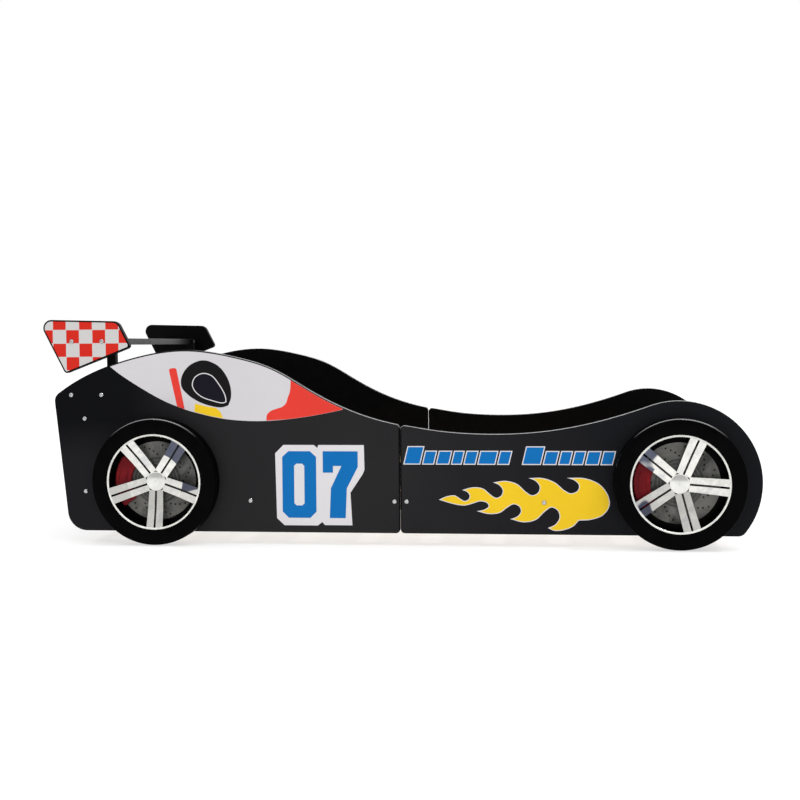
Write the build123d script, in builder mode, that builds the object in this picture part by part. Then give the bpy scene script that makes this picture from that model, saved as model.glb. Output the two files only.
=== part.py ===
from build123d import *
from math import acos, asin, degrees, sqrt

import os

# Race-car toddler bed. Millimetres, +X towards the nose, +Z up, origin on the floor under the middle.
# "along" is a distance from the tail of the side panels, and "height" is a distance from the floor.

# Driving dimensions
body_length = 1580
body_width = 780
spoiler_overhang = 27
board = 15
edge_round = 0.8
panel_base = 28
mattress_length = 1400
mattress_play = 20

# Side panels
tail_foot = (31, panel_base)
tail_top = (-1.4, 334)
seam_along = 792
seam_gap = 1.6
seam_height = 270
seam_slope = (1, -0.14)
rear_top_points = [
    *[(87, 388), (179, 420), (302, 439), (428, 421)],
    *[(501, 398), (574, 357), (645, 318), (717, 289)],
]
front_top_points = [(860, 259), (966, 250), (1071, 252), (1176, 266), (1279, 292)]
nose_radius = 179
nose_start_along = 1340
tail_foot_radius = 45
tail_top_radius = 22
seam_corner_radius = 9
nose_foot_radius = 20

# Wheels, in each wheel's own frame: the axle is local Z, measured outwards from the side panel
axle_height = 144
rear_axle_along = 240
front_axle_along = 1401
rear_spoke_angle = 54.4
front_spoke_angle = 68.3
tyre_radius = 142
tyre_depth = 40
tyre_wall = 3
tyre_crest_radius = 121.5
shoulder_points = [(142, 36.8), (141.2, 38.3), (139.4, 38.9)]
tyre_boss_radius = 6
tyre_boss_height = 38
mouth_radius = 108.4
mouth_lip = (109.8, 39.2)
mouth_depth = 38
mouth_ledge_depth = 33
barrel_top_radius = 103.5
barrel_floor_radius = 101
floor_thickness = 3
spindle_radius = 4
spindle_hole_radius = 4.1
spindle_tip = 18.2
tyre_screw_circle = 123
disc_radius = 89
disc_face = 6
disc_hat_radius = 53
disc_hat_face = 7
disc_edge = 0.8
disc_hole_radius = 2
disc_hole_circles = [60, 67, 74, 81]
disc_hole_rows = 12
disc_hole_twist = 7
calliper_inner = 58
calliper_outer = 95
calliper_half_angle = 38
calliper_back = 7.5
calliper_face = 17
calliper_corner = 6
calliper_edge = 2.5
calliper_grooves = [(68, 36), (85, 36)]
calliper_groove_width = 3
calliper_groove_depth = 1.2
calliper_foot_radius = 3
calliper_foot_circle = 93
calliper_foot_spread = 50
calliper_foot_overlap = 1
rear_calliper_shift = 0
front_calliper_shift = 4
ring_outer = 107.8
ring_inner = 103
ring_back = 34.5
ring_face = 39
ring_edge = 0.8
spoke_start = 20
spoke_end = 105
spoke_foot_half_width = 15.8
spoke_tip_half_width = 18.6
spoke_side = [(19, 18.6), (63, 25.5), (106, 38.4), (106, 35), (63, 20), (19, 12)]
slot_half_width = 2.25
hub_radius = 21.5
hub_cup_radius = 15
hub_back = 10.3
hub_web_face = 14
hub_face = 18.6
rim_bore_radius = 4.06
cap_radius = 19.5
cap_plug_radius = 14.8
cap_plug_wall = 2
cap_plug_length = 3
cap_crown = 20.8
cap_rise = 1.4

# Boards, rails, slats and legs
headboard_along = 70
headboard_base = 40
footboard_base = 40
footboard_top = 250
deck_start = 18
deck_end = 135
deck_height = 338
rail_height = 99
rail_depth = 45
rail_thickness = 25
rail_end_play = 1
slat_count = 10
slat_width = 90
slat_thickness = 12
slat_easing = 2
slat_end_play = 3
leg_width = 45
leg_thickness = 40
leg_alongs = [235, 1396]
glide_height = 8
glide_radius = 14
glide_bevel = 2
glide_pin_radius = 2
glide_pin_length = 12
pin_hole_radius = 2.05
pin_hole_depth = 13

# Spoiler
plate_corners = [(-36.75, 510), (150, 505), (180, 446), (26, 386)]
plate_corner_radii = [19, 20, 8, 8]
wing_height = 459.6
wing_start = 20
wing_end = 120.5
post_start = 108.8
post_size = 20
post_inset = 44

# Seam plates
seam_plate_length = 100
seam_plate_depth = 50
seam_plate_thickness = 2
seam_plate_height = 160
seam_plate_corner = 6

# Fasteners
bolt_radius = 3
bolt_hole_radius = 3.1
bolt_head_radius = 5.25
bolt_head_height = 3
bolt_head_crown = [(5.25, 0.5), (4.3, 2.2), (2.4, 3)]
bolt_socket_flats = 4
bolt_socket_depth = 1.8
connector_length = 40
rail_bolt_length = 47
barrel_nut_radius = 5
barrel_nut_length = 12
barrel_hole_radius = 5.05
barrel_hole_depth = 13
barrel_nut_setback = 33
rail_nut_flats = 10
rail_nut_height = 5.5
rail_nut_radius = 7
rail_nut_flange = 1.5
spindle_nut_flats = 13
spindle_nut_height = 3
spindle_flange_radius = 8.5
spindle_flange = 1.5
spindle_head_height = 5.5
spindle_nut_bore = 4.05
spindle_nut_play = 0.5
wood_screw_radius = 2
wood_screw_hole_radius = 2.05
wood_screw_head_radius = 4
wood_screw_head_height = 2.4
wood_screw_point = 5
screw_pocket_radius = 4.3
screw_pocket_depth = 2.6
bore_spare = 2
blind_depth = 12
tyre_screw_length = 32
seam_screw_length = 13
leg_screw_length = 50
slat_screw_length = 28
post_screw_length = 45

# Worked-out places
tail_x = -(body_length + spoiler_overhang) / 2 + spoiler_overhang
outer_half = body_width / 2
inner_half = outer_half - board
well_start = headboard_along + board / 2
well_end = well_start + mattress_length + mattress_play
footboard_along = well_end + board / 2
deck_top = deck_height + board / 2
deck_underside = deck_height - board / 2
wing_top = wing_height + board / 2
wing_underside = wing_height - board / 2
rail_top = rail_height + rail_depth / 2
rail_underside = rail_height - rail_depth / 2
rail_middle = inner_half - rail_thickness / 2
slat_top = rail_top + slat_thickness
slat_screw_seat = slat_top - screw_pocket_depth
slat_pitch = (well_end - well_start) / slat_count
slat_alongs = [well_start + slat_pitch * (index + 0.5) for index in range(slat_count)]
post_outer = outer_half - post_inset
post_inner = post_outer - post_size
post_middle = (post_outer + post_inner) / 2
post_along = post_start + post_size / 2
tyre_bore_depth = tyre_screw_length - board + bore_spare
rear_seam = seam_along - seam_gap / 2
front_seam = seam_along + seam_gap / 2
rear_seam_corners = [(rear_seam, seam_height), (rear_seam, panel_base)]
front_seam_corners = [(front_seam, seam_height), (front_seam, panel_base)]

# Where the bolts and screws go, as (along, height) on a side panel
deck_bolts = [(39, deck_height), (110, deck_height)]
headboard_bolts = [(headboard_along, 118), (headboard_along, 284)]
footboard_bolts = [(footboard_along, 90), (footboard_along, 200)]
wing_bolts = [(42, wing_height), (112.5, wing_height)]
rear_rail_bolts = [(126, rail_height), (452.5, rail_height), (779, rail_height)]
front_rail_bolts = [(806, rail_height), (1110, rail_height), (1281, rail_height)]
seam_screws = [(seam_along + reach, seam_plate_height) for reach in (-36, -16, 16, 36)]
leg_screws = [(along, height) for along in leg_alongs for height in (44, 64)]

outer_face = Plane(origin=(tail_x, -outer_half, 0), x_dir=(1, 0, 0), z_dir=(0, -1, 0))
inner_face = outer_face.offset(-board)
left_inner_face = Plane(origin=(tail_x, inner_half, 0), x_dir=(1, 0, 0), z_dir=(0, -1, 0))
headboard_start = headboard_along - board / 2
footboard_end = footboard_along + board / 2
headboard_back = Plane(origin=(tail_x + headboard_start, 0, 0), x_dir=(0, -1, 0), z_dir=(-1, 0, 0))
footboard_front = Plane(origin=(tail_x + footboard_end, 0, 0), x_dir=(0, 1, 0), z_dir=(1, 0, 0))
deck_under = Plane(origin=(tail_x, 0, deck_underside), x_dir=(0, 1, 0), z_dir=(0, 0, -1))
wing_under = Plane(origin=(tail_x, 0, wing_underside), x_dir=(0, 1, 0), z_dir=(0, 0, -1))
wheel_faces = {
    along: Plane(origin=(tail_x + along, -outer_half, axle_height), x_dir=(1, 0, 0), z_dir=(0, -1, 0))
    for along in (rear_axle_along, front_axle_along)
}

os.makedirs("parts", exist_ok=True)


def write(piece, label):
    """Name a finished piece and write its file."""
    piece.part.label = label
    export_step(piece.part, f"parts/{label}.step")


def write_pair(right, name):
    """Write a right-hand piece, and its mirror image for the left."""
    write(right, f"right_{name}")
    with BuildPart() as left:
        mirror(right.part, about=Plane.XZ)
    write(left, f"left_{name}")


def slab(alongs, sides, heights, easing=edge_round):
    """Add a block, given by its limits each way, with its edges eased."""
    with BuildSketch(Plane.XY.offset(heights[0])) as footprint:
        with Locations((tail_x + sum(alongs) / 2, sum(sides) / 2)):
            Rectangle(alongs[1] - alongs[0], sides[1] - sides[0])
    block = extrude(footprint.sketch, amount=heights[1] - heights[0])
    chamfer(block.edges(), easing)


def drill(plane, points, radius, depth):
    """Cut round holes of one size, down from the plane, or up from it where the depth is negative."""
    with BuildSketch(plane) as mouths:
        with Locations(*points):
            Circle(radius)
    extrude(mouths.sketch, amount=-depth, mode=Mode.SUBTRACT)


def round_corners(outline, corners, radius):
    """Round the corners of a board's outline that are nearest to the points given."""
    for corner in corners:
        fillet(outline.vertices().sort_by_distance((*corner, 0))[0], radius)


def outline_edges(piece):
    """The edges round both faces of a board that stands along the bed."""
    faces = piece.faces().sort_by(Axis.Y)
    return faces[0].outer_wire().edges() + faces[-1].outer_wire().edges()


def bore_ends(points):
    """Bore both ends of a cross board for its connector bolts."""
    depth = connector_length - board + bore_spare
    drill(inner_face, points, bolt_hole_radius, depth)
    drill(left_inner_face, points, bolt_hole_radius, -depth)


def nut_places(values):
    """The centres of a cross board's barrel nuts, on the face that they are let in from."""
    return [(side * (outer_half - barrel_nut_setback), value) for side in (-1, 1) for value in values]


def tyre_screws(along):
    """The centres, on a side panel, of the screws that hold one tyre."""
    reach = tyre_screw_circle / 2**0.5
    return [(along + i * reach, axle_height + k * reach) for i in (-1, 1) for k in (-1, 1)]


def drill_for_wheel(along):
    """Bore a side panel for a wheel's spindle and its tyre's screws."""
    drill(outer_face, [(along, axle_height)], spindle_hole_radius, board)
    drill(outer_face, tyre_screws(along), wood_screw_hole_radius, board)


def dome(radius, foot, crown):
    """The profile of a shallow round crown, an arc centred on the axis, from its edge to its top."""
    rise = crown - foot
    sphere = (radius**2 + rise**2) / (2 * rise)
    middle = crown - sphere + sqrt(sphere**2 - radius**2 / 4)
    return ThreePointArc((radius, foot), (radius / 2, middle), (0, crown))


def inwards(point, depth):
    """A screw's seat on the right-hand side, facing the middle of the bed, this deep inside the panel."""
    along, height = point
    return Plane(origin=(tail_x + along, -inner_half + depth, height), z_dir=(0, 1, 0)).location


# ---------------------------------------------------------------- side panels

with BuildPart() as rear_panel:
    with BuildSketch(outer_face) as rear_outline:
        with BuildLine():
            Polyline(rear_seam_corners[0], rear_seam_corners[1], tail_foot, tail_top)
            Spline(tail_top, *rear_top_points, rear_seam_corners[0])
        make_face()
        round_corners(rear_outline, [tail_top], tail_top_radius)
        round_corners(rear_outline, [tail_foot], tail_foot_radius)
        round_corners(rear_outline, rear_seam_corners, seam_corner_radius)
    extrude(amount=-board)
    fillet(outline_edges(rear_panel), edge_round)
    drill(outer_face, deck_bolts + headboard_bolts + rear_rail_bolts, bolt_hole_radius, board)
    drill_for_wheel(rear_axle_along)
    drill(inner_face, seam_screws[:2] + leg_screws[:2], wood_screw_hole_radius, -blind_depth)
write_pair(rear_panel, "rear_side_panel")

with BuildPart() as front_panel:
    nose_top_angle = degrees(acos((nose_start_along - front_axle_along) / nose_radius))
    nose_foot_angle = degrees(asin((panel_base - axle_height) / nose_radius))
    nose_sweep = nose_top_angle - nose_foot_angle
    with BuildSketch(outer_face) as front_outline:
        with BuildLine():
            nose = CenterArc((front_axle_along, axle_height), nose_radius, nose_foot_angle, nose_sweep)
            slopes = (seam_slope, -(nose % 1))
            Spline(front_seam_corners[0], *front_top_points, nose @ 1, tangents=slopes)
            Polyline(*front_seam_corners, nose @ 0)
        make_face()
        round_corners(front_outline, front_seam_corners, seam_corner_radius)
        round_corners(front_outline, [tuple(nose @ 0)[:2]], nose_foot_radius)
    extrude(amount=-board)
    fillet(outline_edges(front_panel), edge_round)
    drill(outer_face, footboard_bolts + front_rail_bolts, bolt_hole_radius, board)
    drill_for_wheel(front_axle_along)
    drill(inner_face, seam_screws[2:] + leg_screws[2:], wood_screw_hole_radius, -blind_depth)
write_pair(front_panel, "front_side_panel")

with BuildPart() as seam_plate:
    with BuildSketch(inner_face):
        with Locations((seam_along, seam_plate_height)):
            RectangleRounded(seam_plate_length, seam_plate_depth, seam_plate_corner)
    extrude(amount=-seam_plate_thickness)
    drill(inner_face, seam_screws, wood_screw_hole_radius, seam_plate_thickness)
write_pair(seam_plate, "seam_plate")

# ---------------------------------------------------------------- boards across the bed

with BuildPart() as headboard:
    slab((headboard_start, well_start), (-inner_half, inner_half), (headboard_base, deck_underside))
    bore_ends(headboard_bolts)
    headboard_nuts = nut_places([height for along, height in headboard_bolts])
    drill(headboard_back, headboard_nuts, barrel_hole_radius, barrel_hole_depth)
write(headboard, "headboard")

with BuildPart() as footboard:
    slab((well_end, footboard_end), (-inner_half, inner_half), (footboard_base, footboard_top))
    bore_ends(footboard_bolts)
    footboard_nuts = nut_places([height for along, height in footboard_bolts])
    drill(footboard_front, footboard_nuts, barrel_hole_radius, barrel_hole_depth)
write(footboard, "footboard")

with BuildPart() as rear_deck:
    slab((deck_start, deck_end), (-inner_half, inner_half), (deck_underside, deck_top))
    bore_ends(deck_bolts)
    deck_nuts = nut_places([along for along, height in deck_bolts])
    drill(deck_under, deck_nuts, barrel_hole_radius, barrel_hole_depth)
    drill(deck_under, [(side * post_middle, post_along) for side in (-1, 1)], wood_screw_hole_radius, board)
write(rear_deck, "rear_deck")

# ---------------------------------------------------------------- spoiler

with BuildPart() as spoiler_wing:
    with BuildSketch(Plane.XY.offset(wing_underside)):
        with Locations((tail_x + (wing_start + wing_end) / 2, 0)):
            Rectangle(wing_end - wing_start, 2 * inner_half)
        with Locations(*[(tail_x + post_start + post_size / 2, side * post_middle) for side in (-1, 1)]):
            Rectangle(post_size, post_size, mode=Mode.SUBTRACT)
    extrude(amount=board)
    chamfer(spoiler_wing.edges().filter_by(Axis.Y), edge_round)
    bore_ends(wing_bolts)
    wing_nuts = nut_places([along for along, height in wing_bolts])
    drill(wing_under, wing_nuts, barrel_hole_radius, barrel_hole_depth)
    notch_back = Plane(origin=(tail_x + post_start, 0, 0), x_dir=(0, 1, 0), z_dir=(1, 0, 0))
    wing_pilots = [(side * post_middle, wing_height) for side in (-1, 1)]
    drill(notch_back, wing_pilots, wood_screw_hole_radius, post_screw_length - post_size + bore_spare)
write(spoiler_wing, "spoiler_wing")

with BuildPart() as spoiler_plate:
    with BuildSketch(outer_face) as plate_outline:
        with BuildLine():
            Polyline(*plate_corners, close=True)
        make_face()
        for corner, radius in zip(plate_corners, plate_corner_radii):
            round_corners(plate_outline, [corner], radius)
    extrude(amount=-board)
    fillet(outline_edges(spoiler_plate), edge_round)
    drill(outer_face, wing_bolts, bolt_hole_radius, board)
write_pair(spoiler_plate, "spoiler_plate")

with BuildPart() as spoiler_post:
    slab((post_start, post_start + post_size), (-post_outer, -post_inner), (deck_top, wing_top))
    post_foot = Plane(origin=(tail_x, 0, deck_top), x_dir=(0, 1, 0), z_dir=(0, 0, -1))
    post_bore_depth = post_screw_length - board + bore_spare
    drill(post_foot, [(-post_middle, post_along)], wood_screw_hole_radius, post_bore_depth)
    post_front = notch_back.offset(post_size)
    drill(post_front, [(-post_middle, wing_height)], wood_screw_hole_radius, post_size)
write_pair(spoiler_post, "spoiler_post")

# ---------------------------------------------------------------- rails, slats and legs

rails = {
    "rear_rail": (well_start + rail_end_play, rear_seam - rail_end_play, rear_rail_bolts),
    "front_rail": (front_seam + rail_end_play, well_end - rail_end_play, front_rail_bolts),
}
for name, (start, end, bolts) in rails.items():
    rail_screws = [(tail_x + along, -rail_middle) for along in slat_alongs if start < along < end]
    with BuildPart() as rail:
        slab((start, end), (-inner_half, rail_thickness - inner_half), (rail_underside, rail_top))
        drill(inner_face, bolts, bolt_hole_radius, rail_thickness)
        seats = Plane.XY.offset(slat_screw_seat)
        drill(seats, rail_screws, wood_screw_hole_radius, slat_screw_length + bore_spare)
    write_pair(rail, name)

for index, along in enumerate(slat_alongs, start=1):
    slat_half = inner_half - slat_end_play
    with BuildPart() as slat:
        slat_sides = (along - slat_width / 2, along + slat_width / 2)
        slab(slat_sides, (-slat_half, slat_half), (rail_top, slat_top), slat_easing)
        slat_screws = [(tail_x + along, side * rail_middle) for side in (-1, 1)]
        drill(Plane.XY.offset(slat_top), slat_screws, wood_screw_hole_radius, slat_thickness)
        drill(Plane.XY.offset(slat_top), slat_screws, screw_pocket_radius, screw_pocket_depth)
    write(slat, f"slat_{index:02d}")

for name, along in zip(("rear_leg", "front_leg"), leg_alongs):
    leg_middle = inner_half - leg_thickness / 2
    with BuildPart() as leg:
        slab(
            (along - leg_width / 2, along + leg_width / 2),
            (-inner_half, leg_thickness - inner_half),
            (glide_height, rail_underside),
        )
        own_screws = [(place, height) for place, height in leg_screws if place == along]
        drill(inner_face, own_screws, wood_screw_hole_radius, leg_thickness)
        leg_foot = Plane.XY.offset(glide_height)
        drill(leg_foot, [(tail_x + along, -leg_middle)], pin_hole_radius, -pin_hole_depth)
    write_pair(leg, name)

with BuildPart() as leg_glides:
    with BuildSketch(Plane.XZ) as glide_profile:
        with BuildLine():
            Polyline(
                (0, 0),
                (glide_radius - glide_bevel, 0),
                (glide_radius, glide_bevel),
                (glide_radius, glide_height),
                (glide_pin_radius, glide_height),
                (glide_pin_radius, glide_height + glide_pin_length),
                (0, glide_height + glide_pin_length),
                close=True,
            )
        make_face()
    with Locations(*[(tail_x + along, side * leg_middle) for along in leg_alongs for side in (-1, 1)]):
        add(revolve(glide_profile.sketch, Axis.Z, mode=Mode.PRIVATE))
write(leg_glides, "leg_glides")

# ---------------------------------------------------------------- wheels

with BuildPart() as tyre:
    with BuildSketch(Plane.XZ):
        with BuildLine():
            shoulder = ThreePointArc(*shoulder_points)
            face = ThreePointArc(shoulder @ 1, (tyre_crest_radius, tyre_depth), mouth_lip)
            Polyline(
                face @ 1,
                (mouth_radius, mouth_depth),
                (mouth_radius, mouth_ledge_depth),
                (barrel_top_radius, mouth_ledge_depth),
                (barrel_floor_radius, floor_thickness),
                (spindle_hole_radius, floor_thickness),
                (spindle_hole_radius, 0),
                (barrel_floor_radius + tyre_wall, 0),
                (barrel_top_radius + tyre_wall, mouth_ledge_depth - tyre_wall),
                (mouth_radius + tyre_wall, mouth_ledge_depth - tyre_wall),
                (mouth_radius + tyre_wall, mouth_depth - tyre_wall),
                (tyre_crest_radius, tyre_depth - tyre_wall),
                (tyre_radius - tyre_wall, mouth_depth - tyre_wall),
                (tyre_radius - tyre_wall, 0),
                (tyre_radius, 0),
                shoulder @ 0,
            )
        make_face()
    revolve(axis=Axis.Z)
    for radius, height in ((tyre_boss_radius, tyre_boss_height), (wood_screw_hole_radius, tyre_bore_depth)):
        with BuildSketch(Plane.XY):
            with PolarLocations(tyre_screw_circle, 4, start_angle=45):
                Circle(radius)
        extrude(amount=height, mode=Mode.ADD if radius == tyre_boss_radius else Mode.SUBTRACT)

with BuildPart() as brake_disc:
    with BuildSketch(Plane.XY.offset(floor_thickness)):
        Circle(disc_radius)
    extrude(amount=disc_face - floor_thickness)
    with BuildSketch(Plane.XY.offset(disc_face)):
        Circle(disc_hat_radius)
    extrude(amount=disc_hat_face - disc_face)
    chamfer(brake_disc.edges().filter_by(GeomType.CIRCLE).group_by(Axis.Z)[-1], disc_edge)
    with BuildSketch(Plane.XY.offset(disc_hat_face)):
        Circle(spindle_hole_radius)
        for row, circle in enumerate(disc_hole_circles):
            with PolarLocations(circle, disc_hole_rows, start_angle=row * disc_hole_twist):
                Circle(disc_hole_radius)
    extrude(amount=floor_thickness - disc_hat_face, mode=Mode.SUBTRACT)

with BuildPart() as calliper:
    calliper_start = 180 - calliper_half_angle
    with BuildSketch(Plane.XY.offset(calliper_back)):
        with BuildLine():
            rim_side = CenterArc((0, 0), calliper_outer, calliper_start, 2 * calliper_half_angle)
            axle_side = CenterArc((0, 0), calliper_inner, calliper_start, 2 * calliper_half_angle)
            Line(rim_side @ 0, axle_side @ 0)
            Line(rim_side @ 1, axle_side @ 1)
        make_face()
    extrude(amount=calliper_face - calliper_back)
    fillet(calliper.edges().filter_by(Axis.Z), calliper_corner)
    fillet(calliper.faces().sort_by(Axis.Z)[-1].edges(), calliper_edge)
    for circle, sweep in calliper_grooves:
        with BuildSketch(Plane.XY.offset(calliper_face)):
            with BuildLine():
                groove_line = CenterArc((0, 0), circle, 180 - sweep / 2, sweep)
            SlotArc(groove_line, calliper_groove_width)
        extrude(amount=-calliper_groove_depth, mode=Mode.SUBTRACT)
    first_foot = 180 - calliper_foot_spread / 2
    with BuildSketch(Plane.XY.offset(floor_thickness)):
        with PolarLocations(calliper_foot_circle, 3, first_foot, calliper_foot_spread):
            Circle(calliper_foot_radius)
    extrude(amount=calliper_back - floor_thickness + calliper_foot_overlap)

with BuildPart() as spoke:
    with BuildSketch(Plane.XZ):
        with BuildLine():
            Polyline(*spoke_side, close=True)
        make_face()
    extrude(amount=spoke_tip_half_width, both=True)
    with BuildSketch(Plane.XY):
        with BuildLine():
            Polyline(
                (spoke_start, slot_half_width),
                (spoke_end, slot_half_width),
                (spoke_end, spoke_tip_half_width),
                (spoke_start, spoke_foot_half_width),
                close=True,
            )
        make_face()
        mirror(about=Plane.XZ)
    extrude(amount=tyre_depth, mode=Mode.INTERSECT)

with BuildPart() as rim:
    with BuildSketch(Plane.XZ):
        with BuildLine():
            Polyline(
                (ring_inner, ring_back),
                (ring_outer, ring_back),
                (ring_outer, ring_face - ring_edge),
                (ring_outer - ring_edge, ring_face),
                (ring_inner + ring_edge, ring_face),
                (ring_inner, ring_face - ring_edge),
                close=True,
            )
        make_face()
        with BuildLine():
            Polyline(
                (rim_bore_radius, hub_back),
                (hub_radius, hub_back),
                (hub_radius, hub_face),
                (hub_cup_radius, hub_face),
                (hub_cup_radius, hub_web_face),
                (rim_bore_radius, hub_web_face),
                close=True,
            )
        make_face()
    revolve(axis=Axis.Z)
    with PolarLocations(0, 5):
        add(spoke.part)

with BuildPart() as hub_cap:
    with BuildSketch(Plane.XZ):
        with BuildLine():
            crown = dome(cap_radius, cap_crown - cap_rise, cap_crown)
            Polyline(
                crown @ 0,
                (cap_radius, hub_face),
                (cap_plug_radius, hub_face),
                (cap_plug_radius, hub_face - cap_plug_length),
                (cap_plug_radius - cap_plug_wall, hub_face - cap_plug_length),
                (cap_plug_radius - cap_plug_wall, hub_face),
                (0, hub_face),
                crown @ 1,
            )
        make_face()
    revolve(axis=Axis.Z)

wheels = (
    ("rear", rear_axle_along, rear_spoke_angle, rear_calliper_shift),
    ("front", front_axle_along, front_spoke_angle, front_calliper_shift),
)
for end, along, spoke_angle, calliper_shift in wheels:
    places = (
        ("tyre", tyre, Location()),
        ("brake_disc", brake_disc, Location()),
        ("calliper", calliper, Location((-calliper_shift, 0, 0))),
        ("rim", rim, Rotation(0, 0, spoke_angle)),
        ("hub_cap", hub_cap, Location()),
    )
    for name, master, place in places:
        with BuildPart() as placed:
            with Locations(wheel_faces[along].location * place):
                add(master.part)
        write_pair(placed, f"{end}_{name}")

# ---------------------------------------------------------------- fasteners


def connector_bolt(length):
    """A button-head bolt with a hexagonal socket, its head's seat at the origin."""
    with BuildPart() as bolt:
        with BuildSketch(Plane.XZ):
            with BuildLine():
                crown = ThreePointArc(*bolt_head_crown)
                Polyline(
                    crown @ 1,
                    (0, bolt_head_height),
                    (0, -length),
                    (bolt_radius, -length),
                    (bolt_radius, 0),
                    (bolt_head_radius, 0),
                    crown @ 0,
                )
            make_face()
        revolve(axis=Axis.Z)
        with BuildSketch(Plane.XY.offset(bolt_head_height)):
            RegularPolygon(bolt_socket_flats / 2, 6, major_radius=False)
        extrude(amount=-bolt_socket_depth, mode=Mode.SUBTRACT)
    return bolt.part


def hexagon_nut(flats, height, bore, flange_radius=0, flange=0):
    """A nut on the origin, with a round flange under it if it has one."""
    with BuildPart() as nut:
        with BuildSketch():
            RegularPolygon(flats / 2, 6, major_radius=False)
        extrude(amount=height)
        if flange:
            with BuildSketch():
                Circle(flange_radius)
            extrude(amount=flange)
        with BuildSketch():
            Circle(bore)
        extrude(amount=height, mode=Mode.SUBTRACT)
    return nut.part


def wood_screw(length):
    """A pan-head screw, its head's seat at the origin and its point below."""
    with BuildPart() as screw:
        with BuildSketch(Plane.XZ):
            with BuildLine():
                crown = dome(wood_screw_head_radius, 0, wood_screw_head_height)
                Polyline(
                    crown @ 1,
                    (0, -length),
                    (wood_screw_radius, wood_screw_point - length),
                    (wood_screw_radius, 0),
                    crown @ 0,
                )
            make_face()
        revolve(axis=Axis.Z)
    return screw.part


long_bolt = connector_bolt(connector_length)
with BuildPart(outer_face) as connector_bolts:
    with Locations(*deck_bolts, *headboard_bolts, *footboard_bolts, *wing_bolts):
        add(long_bolt)
    mirror(about=Plane.XZ)
write(connector_bolts, "connector_bolts")

longer_bolt = connector_bolt(rail_bolt_length)
with BuildPart(outer_face) as rail_bolts:
    with Locations(*rear_rail_bolts, *front_rail_bolts):
        add(longer_bolt)
    mirror(about=Plane.XZ)
write(rail_bolts, "rail_bolts")

rail_nut = hexagon_nut(rail_nut_flats, rail_nut_height, bolt_hole_radius, rail_nut_radius, rail_nut_flange)
with BuildPart() as rail_nuts:
    with Locations(*[inwards(point, rail_thickness) for point in rear_rail_bolts + front_rail_bolts]):
        add(rail_nut)
    mirror(about=Plane.XZ)
write(rail_nuts, "rail_nuts")

with BuildPart() as one_barrel_nut:
    with BuildSketch(Plane.XY.offset(-barrel_hole_depth)):
        Circle(barrel_nut_radius)
    extrude(amount=barrel_nut_length)
    with BuildSketch(Plane.YZ.offset(-barrel_nut_radius)):
        with Locations((0, -board / 2)):
            Circle(bolt_hole_radius)
    extrude(amount=2 * barrel_nut_radius, mode=Mode.SUBTRACT)

with BuildPart() as barrel_nuts:
    nut_rows = (
        (headboard_back, headboard_nuts),
        (footboard_front, footboard_nuts),
        (deck_under, deck_nuts),
        (wing_under, wing_nuts),
    )
    for face, places in nut_rows:
        with Locations(*[face.location * Location((*place, 0)) for place in places]):
            add(one_barrel_nut.part)
write(barrel_nuts, "barrel_nuts")

with BuildPart() as one_spindle:
    with BuildSketch(Plane.XY.offset(-board)):
        Circle(spindle_flange_radius)
    extrude(amount=-spindle_flange)
    with BuildSketch(Plane.XY.offset(-board - spindle_flange)):
        RegularPolygon(spindle_nut_flats / 2, 6, major_radius=False)
    extrude(amount=-spindle_head_height)
    with BuildSketch(Plane.XY.offset(-board)):
        Circle(spindle_radius)
    extrude(amount=board + spindle_tip)

with BuildPart() as wheel_spindles:
    with Locations(*[face.location for face in wheel_faces.values()]):
        add(one_spindle.part)
    mirror(about=Plane.XZ)
write(wheel_spindles, "wheel_spindles")

spindle_nut = hexagon_nut(spindle_nut_flats, spindle_nut_height, spindle_nut_bore)
nut_depths = (disc_hat_face, hub_web_face + spindle_nut_play)
with BuildPart() as spindle_nuts:
    with Locations(*[face.offset(depth).location for face in wheel_faces.values() for depth in nut_depths]):
        add(spindle_nut)
    mirror(about=Plane.XZ)
write(spindle_nuts, "spindle_nuts")

tyre_places = [point for along in wheel_faces for point in tyre_screws(along)]
slat_places = [Location((tail_x + along, -rail_middle, slat_screw_seat)) for along in slat_alongs]
post_places = [
    deck_under.location * Location((-post_middle, post_along, 0)),
    post_front.location * Location((-post_middle, wing_height, 0)),
]
screw_rows = (
    (wood_screw(tyre_screw_length), [inwards(point, 0) for point in tyre_places]),
    (wood_screw(seam_screw_length), [inwards(point, seam_plate_thickness) for point in seam_screws]),
    (wood_screw(leg_screw_length), [inwards(point, leg_thickness) for point in leg_screws]),
    (wood_screw(slat_screw_length), slat_places),
    (wood_screw(post_screw_length), post_places),
)
with BuildPart() as wood_screws:
    for screw, seats in screw_rows:
        with Locations(*seats):
            add(screw)
    mirror(about=Plane.XZ)
write(wood_screws, "wood_screws")
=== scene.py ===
import math

import bmesh
import bpy
import numpy as np
from mathutils import Matrix, Vector


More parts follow.
